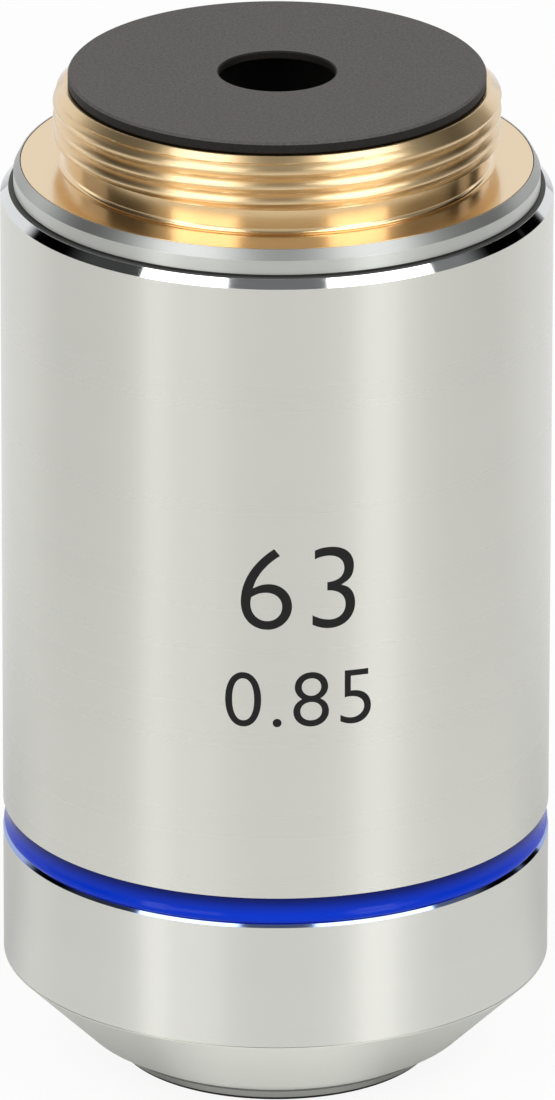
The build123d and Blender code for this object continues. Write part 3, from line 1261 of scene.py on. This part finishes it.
@dataclass
class TipCell(TurnedPiece):
    """Front cell: the tip that comes out of the nose, with the dish and the front aperture."""

    name: str = "tip_shell"
    node: str = "front_cell"
    side: Side = Side.SLIDING
    segments: int = 256
    aperture: float = 1.9 * MM
    lens_bore: float = 2.42 * MM
    dish: float = 3.2 * MM
    dish_depth: float = 0.15 * MM
    lens_rise: float = 0.3 * MM
    lens_seat: float = 1.1 * MM
    foot: float = 6.6 * MM
    foot_rise: float = 0.18 * MM
    foot_bevel: float = 0.65 * MM
    # Width of the band of painted contact shadow on the foot's bevel.
    shadow_line_width: float = 0.18 * MM
    tip_top: float = 4.0 * MM
    shoulder: float = 1.0 * MM
    inner_bore: float = 5.4 * MM
    cell_seat: float = 4.6 * MM
    edge_round: float = 0.04 * MM

    def corners(self) -> list[Corner]:
        """Profile of the tip, from its aperture outwards.

        Returns:
            Corners of the closed profile.
        """
        tip = Extent.of(self.node)
        seat = Extent.of("meniscus_cell").low
        bevel = self.foot + self.foot_bevel
        line = bevel + self.shadow_line_width
        spigot = tip.radius - self.shoulder
        edge = self.edge_round
        return [
            # Painted shade: the tip's chrome is darkened for the shaded floor that it mirrors.
            *run(
                SHADED_TIP_CHROME,
                (self.aperture, self.dish_depth),
                (self.dish, 0.0, edge),
                (self.foot, 0.0, edge),
            ),
            # Painted contact shadow: a black band on the foot's bevel.
            *run(CONTACT_SHADOW_PAINT, (bevel, self.foot_rise, edge / 4)),
            *run(SHADED_TIP_CHROME, (line, self.foot_rise + self.shadow_line_width)),
            *run(
                MOUTH_SHADE,
                (tip.radius, self.foot_rise + tip.radius - bevel, edge),
                (tip.radius, self.tip_top),
                (spigot, self.tip_top),
                (spigot, tip.high),
                (self.inner_bore, tip.high),
                (self.inner_bore, seat),
                (self.cell_seat, seat),
                (self.lens_bore, self.lens_rise + self.lens_seat),
                (self.lens_bore, self.lens_rise),
                (self.aperture, self.lens_rise),
            ),
        ]


@dataclass
class ReturnSpring:
    """Coil spring with ground ends; on the objective it shortens as the tip is pushed in, but here
    it is built at one length.
    """

    shop: Workshop
    turns: float = 5.5
    wire: float = 0.9 * MM
    steps_a_turn: int = 72
    sides: int = 16
    travel: float = 0.9 * MM

    def section(self, turn: float, place: Extent, climb: float) -> list[tuple[float, ...]]:
        """Points round the wire at one place along it, cut flat at the ground ends.

        Args:
            turn: Angle that the wire has wound from its lower end.
            place: Extent of the whole spring.
            climb: Rise for each radian.

        Returns:
            The points.
        """
        coil = place.radius - self.wire / 2
        tilt = math.atan2(climb, coil)
        centre = Vector((coil * math.cos(turn), coil * math.sin(turn), place.low + climb * turn))
        outward = Vector((math.cos(turn), math.sin(turn), 0))
        upward = Vector((0, 0, 1)) * math.cos(tilt)
        upward += Vector((math.sin(turn), -math.cos(turn), 0)) * math.sin(tilt)
        points = []
        for side in range(self.sides):
            angle = 2 * math.pi * side / self.sides
            offset = outward * math.cos(angle) + upward * math.sin(angle)
            spot = centre + offset * self.wire / 2
            points.append((spot.x, spot.y, min(max(spot.z, place.low), place.high)))
        return points

    def build(self) -> None:
        """Build the wound wire on the fixed body."""
        place = Extent.of("coil_spring")
        low, high = place.low, place.high
        count = round(self.turns * self.steps_a_turn)
        climb = (high - low) / (2 * math.pi * self.turns)
        points, faces = [], []
        for step in range(count + 1):
            points += self.section(2 * math.pi * self.turns * step / count, place, climb)
        for first in range(0, count * self.sides, self.sides):
            second = first + self.sides
            for side in range(self.sides):
                following = (side + 1) % self.sides
                faces.append((first + side, first + following, second + following, second + side))
        faces += [range(self.sides), range(count * self.sides, len(points))]
        mesh = bpy.data.meshes.new("spring")
        mesh.from_pydata(points, [], faces)
        smooth(mesh)
        piece = add_piece("return_spring", mesh, self.shop.material(SPRING_WIRE))
        settle(piece, Side.FIXED, Slot.STEEL, "coil_spring")
        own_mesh(piece)


@dataclass
class Marking:
    """Plain numbers on the sleeve, inlaid in dark paint."""

    shop: Workshop
    text: str
    cap_height: float
    height: float
    turn_degrees: float = 0.0
    bold: float = -0.03 * MM
    cap_share: float = 0.729
    spacing: float = 1.08
    skin: float = 0.0005 * MM
    sunk: float = 0.02 * MM
    strip: float = 0.25 * MM

    def figures(self) -> Mesh:
        """Set the figures flat, as thin plates.

        Returns:
            Their mesh, centred on its origin.
        """
        curve = bpy.data.curves.new("figures", "FONT")
        curve.body = self.text
        curve.align_x = "CENTER"
        curve.size = self.cap_height / self.cap_share
        curve.space_character = self.spacing
        curve.offset = self.bold
        curve.extrude = self.sunk / 2
        setting = put("figures", curve)
        bpy.context.view_layer.update()
        graph = bpy.context.evaluated_depsgraph_get()
        mesh = bpy.data.meshes.new_from_object(setting.evaluated_get(graph))
        bpy.data.objects.remove(setting)
        mesh.materials.clear()
        return mesh

    def build(self) -> None:
        """Cut the figures in strips, bend them round the sleeve and dress them."""
        radius = Extent.of("outer_sleeve").radius - self.skin
        front = FRONT + math.radians(self.turn_degrees)
        mesh = self.figures()
        shape = bmesh.new()
        shape.from_mesh(mesh)
        spots = [vert.co.x for vert in shape.verts]
        place = min(spots) + self.strip
        while place < max(spots):
            whole = [*shape.verts, *shape.edges, *shape.faces]
            bmesh.ops.bisect_plane(shape, geom=whole, plane_co=(place, 0, 0), plane_no=(1, 0, 0))
            place += self.strip
        for vert in shape.verts:
            turn = front + vert.co.x / radius
            reach = radius + vert.co.z - self.sunk / 2
            height = self.height + vert.co.y
            vert.co = (reach * math.cos(turn), reach * math.sin(turn), height)
        shape.to_mesh(mesh)
        shape.free()
        smooth(mesh)
        name = f"figures_{self.text.replace('.', '_')}"
        piece = add_piece(name, mesh, self.shop.material(MARKING_PAINT))
        settle(piece, Side.FIXED, Slot.ANODISED)


@dataclass
class InnerParts:
    """Pieces inside the barrel, which keep their solids and get finishes."""

    shop: Workshop
    blackened: tuple[str, ...] = (
        "lens_barrel", "spring_seat", "meniscus_cell", "doublet_cell_1", "doublet_cell_2",
        "rear_cell", "spacer_1", "spacer_2", "lens_lock_ring",
    )
    steel: tuple[str, ...] = ("guide_pin", "centering_screws")
    glass: tuple[str, ...] = (
        "front_lens", "meniscus_lens", "doublet_1_flint", "doublet_1_crown", "doublet_2_flint",
        "doublet_2_crown", "rear_crown", "rear_flint",
    )

    def dress(self) -> None:
        """Give every inner node its finish."""
        finishes = {BLACK_OXIDE: self.blackened, GROUND_STEEL: self.steel, LENS_GLASS: self.glass}
        for finish, nodes in finishes.items():
            for node in nodes:
                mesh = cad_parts[node].data
                mesh.materials.clear()
                mesh.materials.append(self.shop.material(finish))
                log.info("%s: %s", node, finish.name)


# Studio


@dataclass(frozen=True)
class Softbox:
    """One large soft lamp that faces the object: angles in degrees, sizes in metres."""

    name: str
    azimuth: float
    elevation: float
    width: float
    height: float
    radiance: float
    distance: float = 1.1

    def build(self, target: Vector) -> None:
        """Hang the lamp.

        Args:
            target: Point that it faces.
        """
        turn, rise = math.radians(self.azimuth), math.radians(self.elevation)
        level = Vector((math.sin(turn), -math.cos(turn), 0))
        away = level * math.cos(rise) + Vector((0, 0, math.sin(rise)))
        lamp = bpy.data.lights.new(self.name, "AREA")
        lamp.shape = "RECTANGLE"
        lamp.size, lamp.size_y = self.width, self.height
        lamp.energy = self.radiance * math.pi * self.width * self.height
        hung = put(self.name, lamp)
        hung.rotation_mode = "QUATERNION"
        hung.rotation_quaternion = away.to_track_quat("Z", "Y")
        hung.location = target + away * self.distance
        hung.visible_camera = False


@dataclass
class Studio:
    """Camera, pale floor, room light and the softboxes beside the camera.

    A span gives the value where a soft edge starts and the value where it is full. On the floor,
    back is the share of a place's distance from the axis that lies behind the object. In the room,
    facing is 1 straight before the object and -1 straight behind it, and up is a direction's rise.
    """

    middle: float = 24.3 * MM
    camera_distance: float = 731.1 * MM
    camera_elevation: float = 21.642
    camera_roll: float = 0.104
    focal_length: float = 525.3
    sensor: float = 36.0
    clip: Span = (0.01, 50.0)
    frame_height: int = 1100
    axis_offset_pixels: float = 1.25

    floor_size: float = 8.0
    floor_tone: float = 0.9
    floor_glow: float = 0.9
    floor_mirrored: float = 0.36
    shade_behind: float = 0.5
    behind_back: Span = (0.1, 0.6)
    behind_reach: Span = (0.08, 0.03)
    shade_under: float = 0.6
    under_back: Span = (-0.97, -0.7)
    under_reach: Span = (0.018, 0.013)
    shade_far: float = 0.25
    far_back: Span = (0.6, 0.1)
    far_reach: Span = (0.03, 0.09)

    room_front: float = 0.66
    front_facing: Span = (0.17, 0.5)
    room_above: float = 0.2
    above_up: Span = (0.3, 0.92)
    room_side: float = 0.15
    side_rear_facing: Span = (-0.42, -0.2)
    side_front_facing: Span = (0.5, 0.17)
    side_skew: float = 0.09
    room_behind: float = 0.95
    behind_facing: Span = (-0.69, -0.77)
    backdrop_turn: float = 6.3
    backdrop_curl: float = 0.3
    curl_up: Span = (0.24, 0.19)
    room_wing: float = 0.6
    wing_near_facing: Span = (-0.33, -0.39)
    wing_rear_facing: Span = (-0.66, -0.58)
    wing_up: Span = (0.43, 0.38)
    room_low: float = 0.5
    low_up: Span = (0.18, 0.06)

    @property
    def target(self) -> Vector:
        """Point on the axis that the camera looks at."""
        return Vector((0, 0, self.middle))

    def camera(self) -> None:
        """Put up the camera at the photograph's angle."""
        rise = math.radians(self.camera_elevation)
        away = Vector((0, -math.cos(rise), math.sin(rise)))
        data = bpy.data.cameras.new("camera")
        data.sensor_fit = "VERTICAL"
        data.sensor_height = self.sensor
        data.lens = self.focal_length
        data.shift_x = self.axis_offset_pixels / self.frame_height
        data.clip_start, data.clip_end = self.clip
        view = put("camera", data)
        view.location = self.target + away * self.camera_distance
        view.rotation_mode = "QUATERNION"
        facing = away.to_track_quat("Z", "Y")
        roll = Matrix.Rotation(math.radians(self.camera_roll), 3, "Z").to_quaternion()
        view.rotation_quaternion = facing @ roll
        bpy.context.scene.camera = view

    def floor_shade(self, bench: Bench) -> Value:
        """Painted shade on the floor's glow, where the object's own metal mirrors the floor.

        Args:
            bench: Node tree of the floor's material.

        Returns:
            Depth of the shade: behind the object, under its front and far before it.
        """
        across, away, _ = bench.split(bench.add("ShaderNodeNewGeometry").outputs["Position"])
        reach = bench.length(across, away)
        back = bench.math("DIVIDE", away, reach)
        shade = 0.0
        for turn_span, reach_span, depth in (
            (self.behind_back, self.behind_reach, self.shade_behind),
            (self.under_back, self.under_reach, self.shade_under),
            (self.far_back, self.far_reach, self.shade_far),
        ):
            masks = bench.ramp(back, *turn_span), bench.ramp(reach, *reach_span)
            shade = bench.math("ADD", bench.product(*masks, depth), shade)
        return shade

    def floor(self) -> None:
        """Lay the white floor, which glows a little for the camera and in reflections."""
        half = self.floor_size / 2
        mesh = bpy.data.meshes.new("floor")
        corners = [(-half, -half, 0), (half, -half, 0), (half, half, 0), (-half, half, 0)]
        mesh.from_pydata(corners, [], [(0, 1, 2, 3)])
        material = bpy.data.materials.new("white floor")
        material.use_nodes = True
        bench = Bench(material.node_tree)
        bench.tree.nodes.clear()
        matte = bench.add("ShaderNodeBsdfDiffuse")
        matte.inputs["Color"].default_value = (*grey(self.floor_tone), 1.0)
        glow = bench.add("ShaderNodeEmission")
        rays = bench.add("ShaderNodeLightPath").outputs
        seen = bench.product(rays["Is Camera Ray"], self.floor_glow)
        mirrored = bench.math("MAXIMUM", rays["Is Glossy Ray"], rays["Is Transmission Ray"])
        share = bench.math("MAXIMUM", seen, bench.product(mirrored, self.floor_mirrored))
        fall = bench.product(mirrored, self.floor_shade(bench))
        bench.link(bench.math("SUBTRACT", 1.0, fall), glow.inputs["Strength"])
        mix = bench.add("ShaderNodeMixShader")
        for source, target in zip((share, matte.outputs[0], glow.outputs[0]), mix.inputs):
            bench.link(source, target)
        bench.link(mix.outputs[0], bench.add("ShaderNodeOutputMaterial").inputs["Surface"])
        add_piece("floor", mesh, material)

    def room_glow(self, bench: Bench) -> Value:
        """Glow of the room in every direction, as the object mirrors it.

        Args:
            bench: Node tree of the room.

        Returns:
            Glow: pale before the object, dark beside it, white on the backdrop behind it, whose
            lower part curls forward, pale on a wing beside the backdrop and near the floor.
        """
        across, away, up = bench.split(bench.add("ShaderNodeTexCoord").outputs["Generated"])
        level = bench.length(across, away)
        facing = bench.product(bench.math("DIVIDE", away, level), -1.0)
        sideways = bench.math("DIVIDE", across, level)
        turn = math.radians(self.backdrop_turn)
        turned = bench.math(
            "ADD", bench.product(facing, math.cos(turn)), bench.product(sideways, math.sin(turn))
        )
        curl = bench.product(bench.ramp(up, *self.curl_up), self.backdrop_curl)
        curled = bench.math("SUBTRACT", turned, curl)
        fall = bench.product(bench.ramp(up, *self.above_up), self.room_front - self.room_above)
        front = bench.math("SUBTRACT", self.room_front, fall)
        side = bench.math("ADD", bench.product(sideways, self.side_skew), self.room_side)
        glow = 0.0
        for tone, *edges in (
            (front, (facing, self.front_facing)),
            (side, (facing, self.side_rear_facing), (facing, self.side_front_facing)),
            (
                self.room_wing,
                (turned, self.wing_near_facing),
                (facing, self.wing_rear_facing),
                (up, self.wing_up),
            ),
            (self.room_behind, (curled, self.behind_facing)),
        ):
            masks = [bench.ramp(value, *span) for value, span in edges]
            glow = bench.math("ADD", glow, bench.product(*masks, tone))
        low = bench.product(bench.ramp(up, *self.low_up), self.room_low)
        return bench.math("MAXIMUM", glow, low)

    def world(self) -> None:
        """Put up the room, which is white where the camera sees it straight."""
        room = bpy.data.worlds.new("room")
        room.use_nodes = True
        bench = Bench(room.node_tree)
        rays = bench.add("ShaderNodeLightPath").outputs
        seen = bench.math("MAXIMUM", rays["Is Camera Ray"], rays["Is Transmission Ray"])
        sky = bench.tree.nodes["Background"]
        sky.inputs["Color"].default_value = (*grey(1.0), 1.0)
        bench.link(bench.math("MAXIMUM", self.room_glow(bench), seen), sky.inputs["Strength"])
        bpy.context.scene.world = room

    def lamps(self) -> None:
        """Hang the softboxes: on each side a wide one, a bright strip in it and a high one."""
        for box in (
            Softbox("left softbox", -39.75, 28.0, 0.69, 0.69, 1.95),
            Softbox("left strip", -50.0, 6.5, 0.21, 0.2, 3.4),
            Softbox("left high softbox", -55.2, 58.5, 0.57, 0.37, 3.6),
            Softbox("right softbox", 45.0, 28.0, 0.62, 0.69, 1.8),
            Softbox("right strip", 42.0, 6.5, 0.32, 0.2, 3.6),
            Softbox("right high softbox", 60.7, 58.0, 0.72, 0.41, 3.6),
        ):
            box.build(self.target)

    def build(self) -> None:
        """Set up camera, floor, room and lamps."""
        self.camera()
        self.floor()
        self.world()
        self.lamps()
        bpy.context.scene.view_settings.view_transform = "Standard"


def main() -> None:
    """Build the objective and its studio."""
    logging.basicConfig(level=logging.INFO, format="%(name)s: %(message)s")
    shop = Workshop()
    for piece in (CoverSleeve, ColorRing, BarrelRim, MountingThread, RearStop, NoseCone, TipCell):
        piece(shop).build()
    ReturnSpring(shop).build()
    Marking(shop, "63", 4.2 * MM, 25.4 * MM, turn_degrees=5.0, bold=-0.06 * MM).build()
    Marking(shop, "0.85", 2.8 * MM, 20.7 * MM, turn_degrees=5.0).build()
    InnerParts(shop).dress()
    Studio().build()


if __name__ == "__main__":
    main()
